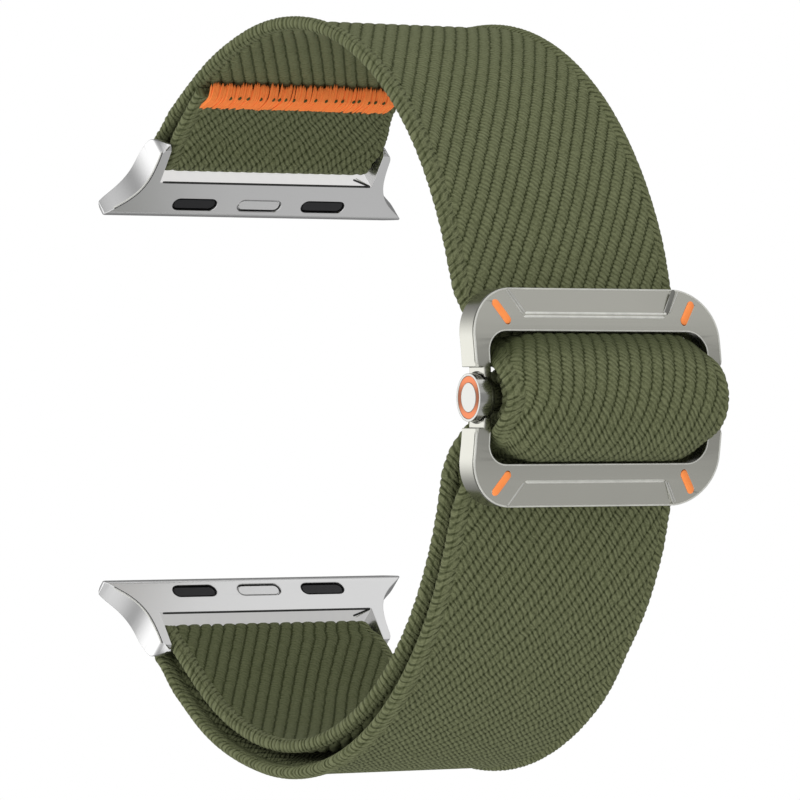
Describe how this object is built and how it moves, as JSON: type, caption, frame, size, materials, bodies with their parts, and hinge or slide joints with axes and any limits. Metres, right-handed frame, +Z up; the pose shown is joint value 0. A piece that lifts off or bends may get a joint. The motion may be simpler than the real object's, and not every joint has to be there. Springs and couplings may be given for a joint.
{
  "type": "elastic watch band",
  "caption": "Elastic woven watch band closed in a ring, with a sliding frame buckle on a centre bar and two slide-in case lugs with lock buttons.",
  "frame": {"origin": "centre of the wrist that the band goes round, midway across the strap", "axes": "+X across the strap, +Y from the buckle towards the watch, +Z up through the upper lug"},
  "size_m": [0.0334, 0.0743, 0.0728],
  "materials": {
    "strap_fabric": "olive green elastic nylon weave, matte",
    "orange_thread": "orange polyester thread",
    "lug_steel": "satin silver with polished edges",
    "spring_steel": "plain spring steel",
    "pad_rubber": "black rubber",
    "buckle_titanium": "satin blasted titanium grey",
    "hub_steel": "polished silver",
    "orange_enamel": "orange enamel fill"
  },
  "bodies": {
    "strap": {"strap_upper_loop": "strap_fabric", "strap_upper_run": "strap_fabric", "strap_upper_lead": "strap_fabric", "strap_lower_lead": "strap_fabric", "strap_lower_run": "strap_fabric", "strap_lower_loop": "strap_fabric", "strap_return_run": "strap_fabric", "strap_return_lead": "strap_fabric", "tail_thread": "orange_thread"},
    "upper_lug": {"upper_lug": "lug_steel", "upper_pin": "lug_steel", "upper_spring": "spring_steel", "upper_near_pad": "pad_rubber", "upper_far_pad": "pad_rubber"},
    "upper_button": {"upper_button": "lug_steel"},
    "lower_lug": {"lower_lug": "lug_steel", "lower_pin": "lug_steel", "lower_spring": "spring_steel", "lower_near_pad": "pad_rubber", "lower_far_pad": "pad_rubber"},
    "lower_button": {"lower_button": "lug_steel"},
    "slider": {"strap_arch": "strap_fabric", "strap_bar_loop": "strap_fabric", "bar_thread": "strap_fabric", "centre_bar": "buckle_titanium", "near_hub": "hub_steel", "far_hub": "hub_steel", "near_hub_ring": "orange_enamel", "far_hub_ring": "orange_enamel"},
    "frame": {"buckle_frame": "buckle_titanium", "dash_upper_near": "orange_enamel", "dash_upper_far": "orange_enamel", "dash_lower_near": "orange_enamel", "dash_lower_far": "orange_enamel"}
  },
  "joints": [
    {"name": "upper_lug_swing", "type": "hinge", "parent": "strap", "child": "upper_lug", "pos_m": [0, 0.02537, 0.02491], "axis": [1, 0, 0], "range_deg": [-45, 45]},
    {"name": "upper_button_press", "type": "slide", "parent": "upper_lug", "child": "upper_button", "axis": [0, 0.7581, 0.6521], "range_m": [0, 0.0004], "stiffness_N_per_m": 800, "springref_m": -0.0003, "deforming": ["upper_spring"]},
    {"name": "lower_lug_swing", "type": "hinge", "parent": "strap", "child": "lower_lug", "pos_m": [0, 0.02537, -0.02491], "axis": [1, 0, 0], "range_deg": [-45, 45]},
    {"name": "lower_button_press", "type": "slide", "parent": "lower_lug", "child": "lower_button", "axis": [0, 0.7581, -0.6521], "range_m": [0, 0.0004], "stiffness_N_per_m": 800, "springref_m": -0.0003, "deforming": ["lower_spring"]},
    {"name": "buckle_slide", "type": "hinge", "parent": "strap", "child": "slider", "pos_m": [0, 0, 0], "axis": [-1, 0, 0], "range_deg": [-8, 8], "deforming": ["strap_upper_lead", "strap_lower_lead", "strap_return_lead"]},
    {"name": "buckle_tilt", "type": "hinge", "parent": "slider", "child": "frame", "pos_m": [0, -0.03935, 0], "axis": [1, 0, 0], "range_deg": [-4, 4]}
  ]
}
